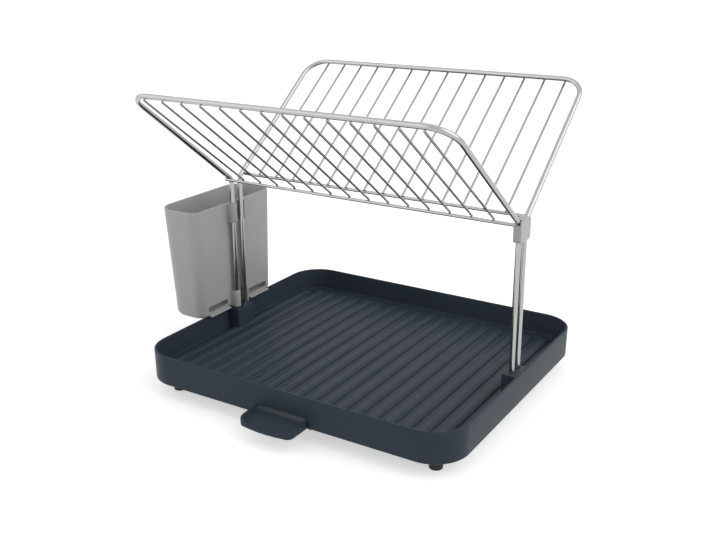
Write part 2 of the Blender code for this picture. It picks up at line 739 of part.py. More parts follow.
def spout_top_line():
    # side view of the rim: level with the floor inside, raised outside, down to the front lip
    front = FRONT_FACE_Y - SPOUT_FRONT
    tail = FRONT_FACE_Y + TRAY_WALL + SPOUT_TAIL
    inside = FRONT_FACE_Y + TRAY_LEAN + TRAY_WALL
    drop = SPOUT_RIM_LEVEL - SPOUT_LIP_LEVEL
    line = [(tail + CUT_OVERRUN, FLOOR_LEVEL), (inside, FLOOR_LEVEL), (inside, SPOUT_RIM_LEVEL)]
    for i in range(SPOUT_STEPS + 1):
        angle = math.pi / 2 * i / SPOUT_STEPS
        line.append((front + SPOUT_BROW * (1 - math.sin(angle)), SPOUT_RIM_LEVEL - drop * (1 - math.cos(angle))))
    line.append((front - CUT_OVERRUN, SPOUT_LIP_LEVEL))
    return line


def spout_deck_line(drop):
    # side view of the chute: flat over the tail, then a hollow curve down to the front lip
    front = FRONT_FACE_Y - SPOUT_FRONT
    tail = FRONT_FACE_Y + TRAY_WALL + SPOUT_TAIL
    crest = FLOOR_LEVEL - SEAT_GAP
    fall = crest - SPOUT_DISH_LEVEL
    line = [(tail + CUT_OVERRUN, crest - drop)]
    for i in range(SPOUT_STEPS + 1):
        share = i / SPOUT_STEPS
        y = FRONT_FACE_Y - SPOUT_FRONT * share
        line.append((y, crest - drop - fall * math.sin(share * math.pi / 2)))
    line.append((front - CUT_OVERRUN, line[-1][1]))
    return line


def spout_stack(bm, levels):
    # plans of the spout at rising heights, each with its inset and its sides' draft
    rings = []
    for inset, draft, z in levels:
        rings.append([(x, y, z) for x, y in spout_plan(inset, draft)])
    loft(bm, rings)


def spout_section():
    # the section that slides through the opening, with the same rounded upper corners
    half = SPOUT_WIDTH / 2
    radius = NOTCH_CORNER - SEAT_GAP
    low = WELL_LEVEL - CUT_OVERRUN
    outline = rounded_outline(-half, half, low, SPOUT_RIM_LEVEL, [radius] * 4, EDGE_STEPS)
    bm = bmesh.new()
    prism(bm, outline, FRONT_FACE_Y - 2 * SPOUT_FRONT, FRONT_FACE_Y + 2 * SPOUT_FRONT, "y")
    return bm


def build_spout(drainer):
    holder = add_empty("spout_slide", (0, 0, 0), drainer)
    low = WELL_LEVEL + SEAT_GAP
    below = low - CUT_OVERRUN
    above = RIM_HEIGHT
    wide = SPOUT_WIDTH
    edge = arc(
        (SPOUT_ROUNDING, low + SPOUT_ROUNDING), SPOUT_ROUNDING, math.pi * 1.5, math.pi, EDGE_STEPS
    )
    levels = [(inset, 0, z) for inset, z in edge] + [(0, 0, SPOUT_RIM_LEVEL + CUT_OVERRUN)]
    bm = bmesh.new()
    spout_stack(bm, levels)
    spout = add_object("spout", mesh_from("spout", bm), "tray_plastic", holder)
    combine(spout, add_cutter("spout_section_guide", spout_section(), holder), "INTERSECT")

    top_line = spout_top_line()
    bm = bmesh.new()
    prism(bm, top_line + [(top_line[-1][0], above), (top_line[0][0], above)], -wide, wide, "x")
    combine(spout, add_cutter("spout_top_guide", bm, holder), "DIFFERENCE")

    deck = spout_deck_line(0)
    bm = bmesh.new()
    spout_stack(bm, [
        (SPOUT_RIM, SPOUT_DRAFT, below),
        (SPOUT_RIM, SPOUT_DRAFT, SPOUT_DISH_LEVEL),
        (SPOUT_RIM, 0, SPOUT_RIM_LEVEL),
        (SPOUT_RIM, 0, above),
    ])
    dish = add_cutter("spout_dish_guide", bm, holder)
    bm = bmesh.new()
    prism(bm, deck + [(deck[-1][0], 0), (deck[0][0], 0)], -wide, wide, "x")
    combine(dish, add_cutter("spout_deck_guide", bm, holder), "DIFFERENCE")
    combine(spout, dish, "DIFFERENCE")

    under = spout_deck_line(SPOUT_SHELL)
    bm = bmesh.new()
    prism(bm, spout_plan(SPOUT_FOOT), below, above)
    core = add_cutter("spout_core_guide", bm, holder)
    bm = bmesh.new()
    prism(bm, under + [(under[-1][0], above), (under[0][0], above)], -wide, wide, "x")
    combine(core, add_cutter("spout_under_guide", bm, holder), "DIFFERENCE")
    combine(spout, core, "DIFFERENCE")
    return spout


def build_rack(drainer):
    rack = add_empty("rack_lift", (0, 0, 0), drainer)
    build_wing("front", -1, rack)
    build_wing("back", 1, rack)
    build_clip(rack)
    build_caddy(rack)


clear_scene()
whole = add_empty("drainer", (-MIDDLE_X, -MIDDLE_Y, 0))
build_tray(whole)
build_feet(whole)
build_spout(whole)
build_rack(whole)
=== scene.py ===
# Dish drainer in a plain studio: the drainer's pieces, their finishes, the light and the camera.
# Working lengths are millimetres from the middle of the tray on the table.

import math

import bmesh
import bpy
from mathutils import Matrix, Vector


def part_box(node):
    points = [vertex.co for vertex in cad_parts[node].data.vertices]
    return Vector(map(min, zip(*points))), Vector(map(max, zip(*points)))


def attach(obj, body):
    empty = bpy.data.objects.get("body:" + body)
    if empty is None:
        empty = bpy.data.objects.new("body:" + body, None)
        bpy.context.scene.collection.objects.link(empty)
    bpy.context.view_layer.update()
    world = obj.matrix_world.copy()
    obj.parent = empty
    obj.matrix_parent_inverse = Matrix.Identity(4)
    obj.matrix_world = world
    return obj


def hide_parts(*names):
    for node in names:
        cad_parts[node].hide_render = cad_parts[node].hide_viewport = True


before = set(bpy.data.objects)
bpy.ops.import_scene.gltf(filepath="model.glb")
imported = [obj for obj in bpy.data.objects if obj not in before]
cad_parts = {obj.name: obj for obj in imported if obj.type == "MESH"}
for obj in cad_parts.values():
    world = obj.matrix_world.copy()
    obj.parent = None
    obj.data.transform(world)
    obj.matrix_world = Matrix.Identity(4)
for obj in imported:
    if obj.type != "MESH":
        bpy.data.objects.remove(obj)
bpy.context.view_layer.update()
scene = bpy.context.scene
trayLow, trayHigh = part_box("tray")
trayMiddle = Vector(((trayLow.x + trayHigh.x) / 2, (trayLow.y + trayHigh.y) / 2, 0))


# Small helpers

samePlace = 0.001  # mm within which two points of an edge lie in one line
sameLevel = 0.01  # mm within which points count as one level
squareOn = 0.99  # least cosine between a face's normal and the way that the face looks


def toMetres(bm):
    # from millimetres round the tray's middle to the frame's metres
    bmesh.ops.scale(bm, vec=(0.001, 0.001, 0.001), verts=bm.verts)
    bmesh.ops.translate(bm, vec=trayMiddle, verts=bm.verts)


def shade(mesh, angle):
    mesh.shade_smooth()
    mesh.set_sharp_from_angle(angle=math.radians(angle))


def makeObject(name, bm, smoothAngle=35):
    bmesh.ops.recalc_face_normals(bm, faces=bm.faces)
    toMetres(bm)
    mesh = bpy.data.meshes.new(name)
    bm.to_mesh(mesh)
    bm.free()
    shade(mesh, smoothAngle)
    item = bpy.data.objects.new(name, mesh)
    scene.collection.objects.link(item)
    return item


def mend(mesh, join=0.0):
    # joins points that lie within a distance and turns every face outwards
    bm = bmesh.new()
    bm.from_mesh(mesh)
    if join:
        bmesh.ops.remove_doubles(bm, verts=bm.verts, dist=join)
    bmesh.ops.recalc_face_normals(bm, faces=bm.faces)
    bm.to_mesh(mesh)
    bm.free()


def settle(item, smoothAngle=35):
    # turns the modifiers' result into the piece's own mesh
    graph = bpy.context.evaluated_depsgraph_get()
    mesh = bpy.data.meshes.new_from_object(item.evaluated_get(graph))
    item.modifiers.clear()
    item.data = mesh
    shade(mesh, smoothAngle)
    return item


def carve(item, tools, operation="DIFFERENCE", smoothAngle=35):
    for tool in tools:
        step = item.modifiers.new(tool.name, "BOOLEAN")
        step.operation = operation
        step.solver = "EXACT"
        step.object = tool
    settle(item, smoothAngle)
    for tool in tools:
        bpy.data.objects.remove(tool, do_unlink=True)
    return item


def dress(item, material, body, slotName, *nodes):
    # finish, body and the CAD nodes that the piece stands for
    item.data.materials.clear()
    item.data.materials.append(material)
    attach(item, body)
    if nodes:
        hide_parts(*nodes)
    return item


def block(bm, low, high):
    # a box between two corners; gives its vertices
    made = bmesh.ops.create_cube(bm, size=1.0)["verts"]
    low, high = Vector(low), Vector(high)
    bmesh.ops.scale(bm, vec=high - low, verts=made)
    bmesh.ops.translate(bm, vec=(low + high) / 2, verts=made)
    return made


def edgesWhere(verts, test=None):
    # edges of these vertices, or only those that pass a test on their two ends
    found = {edge for vert in verts for edge in vert.link_edges}
    return [edge for edge in found if test is None or test(edge.verts[0].co, edge.verts[1].co)]


def sliceAt(bm, axis, level, dist):
    # new edges where the plane square to an axis meets the whole shape
    place, normal = Vector(), Vector()
    place[axis], normal[axis] = level, 1
    whole = list(bm.verts) + list(bm.edges) + list(bm.faces)
    bmesh.ops.bisect_plane(bm, geom=whole, dist=dist, plane_co=place, plane_no=normal)


def runsAlong(axis):
    # a test for edges that run along one axis
    others = [i for i in range(3) if i != axis]
    return lambda a, b: all(abs(a[i] - b[i]) < samePlace for i in others)


alongX, alongY, upright = runsAlong(0), runsAlong(1), runsAlong(2)


def roundEdges(bm, edges, radius, segments):
    return bmesh.ops.bevel(
        bm, geom=edges, offset=radius, segments=segments, profile=0.5, affect="EDGES",
        offset_type="OFFSET", material=-1, clamp_overlap=False,
    )


def farthestFace(bm, direction):
    # the flat face that lies farthest along a direction
    way = Vector(direction)
    facing = [face for face in bm.faces if face.normal.dot(way) > squareOn]
    return max(facing, key=lambda face: face.calc_center_median().dot(way))


def stepIn(bm, faces, steps):
    # insets a face again and again; each step is an inset and a rise along the face's normal
    for inset, rise in steps:
        bmesh.ops.inset_region(
            bm, faces=faces, thickness=inset, depth=rise, use_even_offset=True, use_boundary=True
        )


def quarterSteps(radius, segments, start):
    # a quarter round as insets and rises: 'steep' starts along the rise, 'flat' along the inset
    steps = []
    for i in range(segments):
        a, b = math.pi / 2 * i / segments, math.pi / 2 * (i + 1) / segments
        along = radius * (math.sin(b) - math.sin(a))
        across = radius * (math.cos(a) - math.cos(b))
        steps.append((across, along) if start == "steep" else (along, across))
    return steps


def downwards(steps):
    return [(inset, -rise) for inset, rise in steps]


def cylinderBlock(bm, centre, radius, low, high, segments):
    made = bmesh.ops.create_cone(
        bm, cap_ends=True, cap_tris=False, segments=segments, radius1=radius, radius2=radius,
        depth=high - low,
    )["verts"]
    bmesh.ops.translate(bm, vec=(centre[0], centre[1], (low + high) / 2), verts=made)
    return made


def smoothShare(value):
    value = min(max(value, 0.0), 1.0)
    return value * value * (3 - 2 * value)


# Finishes

def fromHex(text):
    parts = [int(text[i:i + 2], 16) / 255 for i in (1, 3, 5)]
    linear = [c / 12.92 if c <= 0.04045 else ((c + 0.055) / 1.055) ** 2.4 for c in parts]
    return (*linear, 1.0)


def addNode(tree, kind, values=None, links=None, **settings):
    # a node with its settings, its socket values and the links that come into it
    node = tree.nodes.new(kind)
    for name, value in settings.items():
        setattr(node, name, value)
    for socket, value in (values or {}).items():
        node.inputs[socket].default_value = value
    for socket, source in (links or {}).items():
        tree.links.new(source, node.inputs[socket])
    return node


def newMaterial(name, **sockets):
    material = bpy.data.materials.new(name)
    material.use_nodes = True
    tree = material.node_tree
    shader = tree.nodes["Principled BSDF"]
    for socket, value in sockets.items():
        shader.inputs[socket.replace("_", " ")].default_value = value
    return material, tree, shader


colourSpan = (0.3, 0.7)  # the part of a noise's range that runs from dark to light


def addGrain(tree, shader, finish):
    # the fine spark-eroded grain of the mould and the slow drift of its gloss and colour
    place = addNode(tree, "ShaderNodeTexCoord").outputs["Object"]
    grain = addNode(
        tree, "ShaderNodeTexNoise", {"Scale": 1000 / finish["grainSize"], "Detail": 2.0, "Roughness": 0.6},
        {"Vector": place},
    )
    drift = addNode(
        tree, "ShaderNodeTexNoise", {"Scale": 1000 / finish["driftSize"], "Detail": 3.0}, {"Vector": place}
    )
    bump = addNode(
        tree, "ShaderNodeBump", {"Strength": finish["bump"], "Distance": finish["grainDepth"] / 1000},
        {"Height": grain.outputs["Fac"]},
    )
    tree.links.new(bump.outputs["Normal"], shader.inputs["Normal"])
    gloss = addNode(
        tree, "ShaderNodeMapRange", {"To Min": finish["gloss"][0], "To Max": finish["gloss"][1]},
        {"Value": drift.outputs["Fac"]},
    )
    tree.links.new(gloss.outputs["Result"], shader.inputs["Roughness"])
    speck = addNode(
        tree, "ShaderNodeMath", {1: finish["speck"]}, {0: grain.outputs["Fac"]}, operation="MULTIPLY"
    )
    share = addNode(
        tree, "ShaderNodeMath", {1: 1 - finish["speck"]}, {0: drift.outputs["Fac"]}, operation="MULTIPLY"
    )
    both = addNode(
        tree, "ShaderNodeMath", None, {0: speck.outputs[0], 1: share.outputs[0]}, operation="ADD"
    )
    colour = addNode(tree, "ShaderNodeValToRGB", None, {"Fac": both.outputs[0]})
    for stop, position, name in zip(colour.color_ramp.elements, colourSpan, ("dark", "light")):
        stop.position = position
        stop.color = fromHex(finish[name])
    tree.links.new(colour.outputs["Color"], shader.inputs["Base Color"])


trayFinish = {
    "dark": "#2E3841", "light": "#363F48", "gloss": (0.36, 0.46),
    "grainSize": 1.1, "grainDepth": 0.05, "bump": 0.35, "driftSize": 60, "speck": 0.45,
}


def mouldedPolypropylene():
    # slate grey polypropylene from a spark-eroded mould: satin, with a fine even grain.
    # The real grain is about 0.3 mm; it is drawn at 1.1 mm so that it shows.
    material, tree, shader = newMaterial("mouldedPolypropyleneSlate", IOR=1.49, Specular_IOR_Level=0.12)
    addGrain(tree, shader, trayFinish)
    return material


caddyFinish = {
    "dark": "#A6A6A6", "light": "#AEAEAE", "gloss": (0.42, 0.50),
    "grainSize": 0.9, "grainDepth": 0.03, "bump": 0.25, "driftSize": 45, "speck": 0.4,
}


def mouldedGrey():
    # mid grey ABS, moulded with a light satin grain
    material, tree, shader = newMaterial("mouldedAbsGrey", IOR=1.53)
    addGrain(tree, shader, caddyFinish)
    return material


clipFinish = {
    "dark": "#ACACAC", "light": "#B5B5B5", "gloss": (0.38, 0.45),
    "grainSize": 0.8, "grainDepth": 0.02, "bump": 0.2, "driftSize": 12, "speck": 0.4,
}


def mouldedPaleGrey():
    # light grey ABS of the clip, moulded, satin
    material, tree, shader = newMaterial("mouldedAbsPaleGrey", IOR=1.53)
    addGrain(tree, shader, clipFinish)
    return material


rodFinish = {
    "dark": "#A6A6A6", "light": "#B2B2B1", "gloss": (0.16, 0.22),
    "drawSize": 2.4, "drawDepth": 0.006, "bump": 0.04, "driftSize": 18,
}
wireFinish = {
    "dark": "#8C8C8C", "light": "#989897", "gloss": (0.22, 0.28),
    "drawSize": 2.4, "drawDepth": 0.006, "bump": 0.03, "driftSize": 18,
}


def drawnStainless(name, finish):
    # drawn stainless steel, the rods polished brighter than the wires: a faint mottle of gloss and
    # soft drawing marks, which are drawn at 2.4 mm so that they don't break up in thin wires
    material, tree, shader = newMaterial(name, Metallic=1.0)
    place = addNode(tree, "ShaderNodeTexCoord").outputs["Object"]
    marks = addNode(
        tree, "ShaderNodeTexNoise", {"Scale": 1000 / finish["drawSize"], "Detail": 2.0}, {"Vector": place}
    )
    drift = addNode(
        tree, "ShaderNodeTexNoise", {"Scale": 1000 / finish["driftSize"], "Detail": 2.0}, {"Vector": place}
    )
    bump = addNode(
        tree, "ShaderNodeBump",
        {"Strength": finish["bump"], "Distance": finish["drawDepth"] / 1000},
        {"Height": marks.outputs["Fac"]},
    )
    tree.links.new(bump.outputs["Normal"], shader.inputs["Normal"])
    gloss = addNode(
        tree, "ShaderNodeMapRange", {"To Min": finish["gloss"][0], "To Max": finish["gloss"][1]},
        {"Value": drift.outputs["Fac"]},
    )
    tree.links.new(gloss.outputs["Result"], shader.inputs["Roughness"])
    colour = addNode(tree, "ShaderNodeValToRGB", None, {"Fac": drift.outputs["Fac"]})
    for stop, name in zip(colour.color_ramp.elements, ("dark", "light")):
        stop.color = fromHex(finish[name])
    tree.links.new(colour.outputs["Color"], shader.inputs["Base Color"])
    return material


rubberFinish = {
    "dark": "#141618", "light": "#1B1E20", "gloss": (0.62, 0.75),
    "grainSize": 0.7, "grainDepth": 0.04, "bump": 0.4, "driftSize": 8, "speck": 0.5,
}


def mouldedRubber():
    # black moulded rubber: matt, with a slightly dusty grain
    material, tree, shader = newMaterial("mouldedRubberBlack", IOR=1.52)
    addGrain(tree, shader, rubberFinish)
    return material


slate = mouldedPolypropylene()
caddyGrey = mouldedGrey()
clipGrey = mouldedPaleGrey()
rodSteel = drawnStainless("polishedStainlessRod", rodFinish)
wireSteel = drawnStainless("drawnStainlessWire", wireFinish)
rubber = mouldedRubber()
print("finishes made")


# Tray

tray = {
    "length": 401, "depth": 350, "corner": 40.8, "cornerSegments": 28,
    "rim": 54, "rimRound": 0.8, "skirt": 18, "wall": 2.5, "lean": 0.6, "skirtRound": 2.0,
    "roundSegments": 5, "floor": 26, "floorThickness": 2.4, "fillet": 1.4, "filletSegments": 7,
    "ribs": 20, "ribPitch": 19.56, "ribWidth": 12.1, "ribHeight": 3.3, "ribRamp": 5.0, "ribClear": 0.5,
    "gutter": 13.5, "rampFrom": 138.0, "rampStep": 0.85, "rampCuts": 23,
    "socketHalf": 15.75, "socketInner": 181.0, "socketInWall": 1.2, "socketInFloor": 1.0,
    "socketTop": 53.6, "socketCorner": 2.0, "socketEdge": 0.5,
    "legX": 190, "legY": 8, "legBore": 3.3, "legFoot": 28, "legBoreTop": 60,
    "notchHalf": 34.0, "notchTop": 29.7, "notchCorner": 3.0, "notchReach": (4.0, 4.2), "notchBelow": 5.0,
    "wellFloor": 17.7, "wellTop": 34, "wellBack": -133.9, "wellWall": 1.8, "wellBase": 1.6,
    "footX": 169, "footY": 144.7, "bossRadius": 9.0, "bossLow": 14, "boreRadius": 4.3,
    "boreLow": 10, "boreTop": 21.8, "boreSegments": 40, "bossSegments": 48,
}
# stiffening ribs under the floor, and how deep they root in it
underside = {
    "half": 0.9, "rows": 4, "rowDeep": 3.6, "rowRoot": 0.8,
    "columns": 5, "columnDeep": 4.4, "columnRoot": 0.75,
}
# a rib's section: share of its half width from the middle, and share of its height
ribSection = [
    (0.0, 1.0), (0.2, 0.985), (0.4, 0.93), (0.56, 0.855), (0.7, 0.76), (0.82, 0.655), (0.91, 0.56),
    (0.965, 0.47), (1.0, 0.38), (1.02, 0.18), (1.05, 0.05), (1.1, 0.0),
]


def trayLean(z):
    return (tray["rim"] - z) * tray["lean"] / (tray["rim"] - tray["skirt"])


def ribLength(x):
    # half length of the rib that stands at x: to the gutter, or shorter where the corner turns in
    inner = trayLean(tray["floor"]) + tray["wall"]
    straight = tray["depth"] / 2 - inner - tray["fillet"] - tray["gutter"]
    past = abs(x) + tray["ribWidth"] / 2 - (tray["length"] / 2 - tray["corner"])
    if past <= 0:
        return straight
    turn = tray["corner"] - inner - tray["ribClear"]
    rise = math.sqrt(turn * turn - past * past)
    return min(straight, tray["depth"] / 2 - tray["corner"] + rise - tray["ribRamp"])


def ribCentres():
    return [(i - (tray["ribs"] - 1) / 2) * tray["ribPitch"] for i in range(tray["ribs"])]


def ribHeightAt(x, y):
    centre = min(ribCentres(), key=lambda c: abs(x - c))
    across = abs(x - centre) / (tray["ribWidth"] / 2)
    if across >= ribSection[-1][0]:
        return 0.0
    for (a, high), (b, low) in zip(ribSection, ribSection[1:]):
        if across <= b:
            height = high + (low - high) * (across - a) / (b - a)
            break
    ramp = (ribLength(centre) - abs(y)) / tray["ribRamp"]
    return tray["ribHeight"] * height * smoothShare(ramp)


def cutFloor(bm, face):
    # planes across the floor where the ribs' sections and their ends change
    half = tray["ribWidth"] / 2
    lines = []
    for centre in ribCentres():
        for share, _ in ribSection:
            lines += [centre + share * half, centre - share * half] if share else [centre]
    ends = [tray["rampFrom"] + tray["rampStep"] * i for i in range(tray["rampCuts"])]
    ends += [120.0, 80.0, 40.0, 0.0]  # keeps the long faces between the ramps short
    planes = [((x, 0, 0), (1, 0, 0)) for x in sorted({round(x, 4) for x in lines})]
    planes += [((0, side * y, 0), (0, 1, 0)) for y in ends for side in (-1, 1)]
    geometry = [face] + list(face.edges) + list(face.verts)
    for place, normal in planes:
        cut = bmesh.ops.bisect_plane(bm, geom=geometry, dist=0.0005, plane_co=place, plane_no=normal)
        geometry = list(set(cut["geom"]))
    return [part for part in geometry if isinstance(part, bmesh.types.BMFace) and part.is_valid]


def buildTrayShell():
    bm = bmesh.new()
    low = tray["skirt"] + tray["skirtRound"]
    high = tray["rim"] - tray["rimRound"]
    halfLength, halfDepth = tray["length"] / 2, tray["depth"] / 2
    verts = block(bm, (-halfLength, -halfDepth, low), (halfLength, halfDepth, high))
    roundEdges(bm, edgesWhere(verts, upright), tray["corner"], tray["cornerSegments"])
    for vert in bm.verts:
        if vert.co.z < low + sameLevel:  # the wall leans in to the skirt, round each corner's centre
            centre = Vector((
                math.copysign(halfLength - tray["corner"], vert.co.x),
                math.copysign(halfDepth - tray["corner"], vert.co.y),
                vert.co.z,
            ))
            vert.co = centre + (vert.co - centre) * (1 - trayLean(low) / tray["corner"])
    bm.normal_update()
    # underside: rounded skirt, then up inside it to the underside of the floor
    under = farthestFace(bm, (0, 0, -1))
    stepIn(bm, [under], quarterSteps(tray["skirtRound"], tray["roundSegments"], "steep"))
    stepIn(bm, [under], [(tray["wall"] - tray["skirtRound"], 0)])
    stepIn(bm, [under], [(0.0, tray["skirt"] + tray["floorThickness"] - tray["floor"])])
    # top: softly edged rim, down the inner wall and round the fillet to the floor
    top = farthestFace(bm, (0, 0, 1))
    stepIn(bm, [top], quarterSteps(tray["rimRound"], tray["roundSegments"], "steep"))
    stepIn(bm, [top], [(tray["wall"] - 2 * tray["rimRound"], 0)])
    stepIn(bm, [top], downwards(quarterSteps(tray["rimRound"], tray["roundSegments"], "flat")))
    filletTop = tray["floor"] + tray["fillet"]
    stepIn(bm, [top], [(trayLean(filletTop) - trayLean(high), filletTop - high)])
    stepIn(bm, [top], downwards(quarterSteps(tray["fillet"], tray["filletSegments"], "steep")))
    for vert in {vert for part in cutFloor(bm, top) for vert in part.verts}:
        vert.co.z += ribHeightAt(vert.co.x, vert.co.y)
    return makeObject("tray_shell", bm, smoothAngle=30)


def buildNotchTools():
    # the sealed well's space and the opening in the front wall, with its rounded upper corners
    bm = bmesh.new()
    half, front = tray["notchHalf"], -tray["depth"] / 2
    inside = front + tray["wall"] + trayLean(tray["floor"])
    block(bm, (-half, inside, tray["wellFloor"]), (half, tray["wellBack"], tray["wellTop"]))
    well = makeObject("well_cut", bm)
    bm = bmesh.new()
    verts = block(
        bm, (-half, front - tray["notchReach"][0], tray["wellFloor"] - tray["notchBelow"]),
        (half, front + tray["notchReach"][1], tray["notchTop"]),
    )
    upper = [edge for edge in edgesWhere(verts, alongY) if edge.verts[0].co.z > tray["wellFloor"]]
    roundEdges(bm, upper, tray["notchCorner"], segments=8)
    return [well, makeObject("notch_cut", bm)]


def footPlaces():
    return [(side * tray["footX"], end * tray["footY"]) for side in (-1, 1) for end in (-1, 1)]


def buildTrayUnderside():
    # thin stiffening ribs, foot bosses with their bores, and the well's closed trough
    bm = bmesh.new()
    under = tray["floor"] - tray["floorThickness"]
    edge = tray["lean"] + tray["wall"] / 2
    reachX, reachY = tray["length"] / 2 - edge, tray["depth"] / 2 - edge
    half, low, high = underside["half"], under - underside["rowDeep"], under + underside["rowRoot"]
    for row in range(underside["rows"]):
        y = ((row + 0.5) / underside["rows"] - 0.5) * tray["depth"]
        block(bm, (-reachX, y - half, low), (reachX, y + half, high))
    low, high = under - underside["columnDeep"], under + underside["columnRoot"]
    for column in range(underside["columns"]):
        x = ((column + 0.5) / underside["columns"] - 0.5) * tray["length"]
        if abs(x) > tray["notchHalf"]:
            block(bm, (x - half, -reachY, low), (x + half, reachY, high))
    ribs = makeObject("tray_underside", bm)
    bm = bmesh.new()
    outer = tray["notchHalf"] + tray["wellWall"]
    front = -tray["depth"] / 2 + tray["lean"] + tray["wall"]
    root = under + underside["rowRoot"]
    low = tray["wellFloor"] - tray["wellBase"]
    block(bm, (-outer, front, low), (outer, tray["wellBack"] + tray["wellWall"], root))
    trough = makeObject("trough", bm)
    bm = bmesh.new()
    for place in footPlaces():
        cylinderBlock(bm, place, tray["bossRadius"], tray["bossLow"], root, tray["bossSegments"])
    bosses = makeObject("bosses", bm)
    carve(ribs, [trough, bosses], "UNION")
    bm = bmesh.new()
    for place in footPlaces():
        cylinderBlock(bm, place, tray["boreRadius"], tray["boreLow"], tray["boreTop"], tray["boreSegments"])
    bores = makeObject("bores", bm)
    return carve(ribs, [bores] + buildNotchTools())


def buildSocket(side):
    # the block on the side wall that takes two legs, with its own small roundings
    bm = bmesh.new()
    low, high = sorted((side * tray["socketInner"], side * (tray["length"] / 2 - tray["socketInWall"])))
    verts = block(
        bm, (low, -tray["socketHalf"], tray["floor"] - tray["socketInFloor"]),
        (high, tray["socketHalf"], tray["socketTop"]),
    )
    roundEdges(bm, edgesWhere(verts, upright), tray["socketCorner"], segments=5)
    bm.normal_update()
    top = farthestFace(bm, (0, 0, 1))
    roundEdges(bm, list(top.edges), tray["socketEdge"], segments=3)
    socket = makeObject("tray_socket_" + ("left" if side < 0 else "right"), bm)
    bm = bmesh.new()
    for end in (-1, 1):
        place = (side * tray["legX"], end * tray["legY"])
        cylinderBlock(bm, place, tray["legBore"], tray["legFoot"], tray["legBoreTop"], tray["boreSegments"])
    return carve(socket, [makeObject("leg_bores", bm)])


shell = carve(buildTrayShell(), buildNotchTools(), smoothAngle=30)
dress(shell, slate, "base", "tray", "tray")
dress(buildTrayUnderside(), slate, "base", "tray")
for side in (-1, 1):
    dress(buildSocket(side), slate, "base", "tray")
print("tray made")


# Rubber feet

foot = {
    "radius": 7.25, "round": 1.2, "roundSegments": 6, "height": 13.7, "chamfer": 0.5,
    "stem": 4.0, "stemTop": 21.2, "turns": 48,
}


def buildFoot(name, x, y):
    # turned outline, spun round its own axis
    bm = bmesh.new()
    outline = [(0, 0), (foot["radius"] - foot["round"], 0)]
    for i in range(1, foot["roundSegments"] + 1):
        angle = math.pi / 2 * i / foot["roundSegments"]
        outline.append((
            foot["radius"] - foot["round"] * (1 - math.sin(angle)), foot["round"] * (1 - math.cos(angle)),
        ))
    outline.append((foot["radius"], foot["height"] - foot["chamfer"]))
    outline.append((foot["radius"] - foot["chamfer"], foot["height"]))
    outline += [(foot["stem"], foot["height"]), (foot["stem"], foot["stemTop"]), (0, foot["stemTop"])]
    verts = [bm.verts.new((radius, 0, height)) for radius, height in outline]
    edges = [bm.edges.new(pair) for pair in zip(verts, verts[1:])]
    bmesh.ops.spin(
        bm, geom=verts + edges, cent=(0, 0, 0), axis=(0, 0, 1), angle=2 * math.pi,
        steps=foot["turns"], use_merge=True,
    )
    bmesh.ops.remove_doubles(bm, verts=bm.verts, dist=sameLevel)
    bmesh.ops.translate(bm, vec=(x, y, 0), verts=bm.verts)
    return makeObject(name, bm, smoothAngle=40)


for depth, end in (("front", -1), ("back", 1)):
    for width, side in (("left", -1), ("right", 1)):
        label = depth + "_" + width
        piece = buildFoot("foot_pad_" + label, side * tray["footX"], end * tray["footY"])
        dress(piece, rubber, "base", "feet", "foot_" + label)
print("feet made")


# Rack of rods, bars and wires

rack = {
    "legX": 190, "legY": 8, "legFoot": 28.3, "rod": 3.0, "bendRadius": 10, "slope": math.radians(37.4),
    "reach": 173, "height": 349.2, "corner": 27, "gap": 0.3, "bendSegments": 16, "cornerSegments": 24,
    "bar": 1.9, "barAbove": 9.2, "barOver": 0.2, "barRound": 0.5, "wire": 1.3, "wires": 14,
    "wireBelow": 1.3, "wirePast": 0.4, "wireRound": 0.3, "wireSegments": 20, "rodRoundness": 6,
    "frameWeld": (1.3, 1.5, 0.5), "wireWeld": (0.8, 0.9, 0.35), "weldOut": 0.1, "weldBelow": 0.4,
}
rack["bendHeight"] = rack["height"] - (rack["reach"] - rack["legY"]) * math.tan(rack["slope"])
rack["length"] = (rack["reach"] - rack["legY"]) / math.cos(rack["slope"])
rack["pitch"] = 2 * rack["legX"] / (rack["wires"] + 1)


def onWing(x, along, out, side):
    # along the slope from the bend, and out of the wing on its lower side
    slope = rack["slope"]
    y = rack["legY"] + along * math.cos(slope) + out * math.sin(slope)
    return Vector((x, side * y, rack["bendHeight"] + along * math.sin(slope) - out * math.cos(slope)))


def framePath(side):
    turn = math.pi / 2 - rack["slope"]
    start = rack["bendHeight"] - rack["bendRadius"] * math.tan(turn / 2)
    half = [Vector((rack["legX"], side * rack["legY"], rack["legFoot"]))]
    for i in range(rack["bendSegments"] + 1):
        angle = turn * i / rack["bendSegments"]
        half.append(Vector((
            rack["legX"],
            side * (rack["legY"] + rack["bendRadius"] * (1 - math.cos(angle))),
            start + rack["bendRadius"] * math.sin(angle),
        )))
    for i in range(rack["cornerSegments"] + 1):
        angle = math.pi / 2 * i / rack["cornerSegments"]
        x = rack["legX"] - rack["corner"] * (1 - math.cos(angle))
        half.append(onWing(x, rack["length"] - rack["corner"] * (1 - math.sin(angle)), 0, side))
    return half + [Vector((-point.x, point.y, point.z)) for point in reversed(half)]


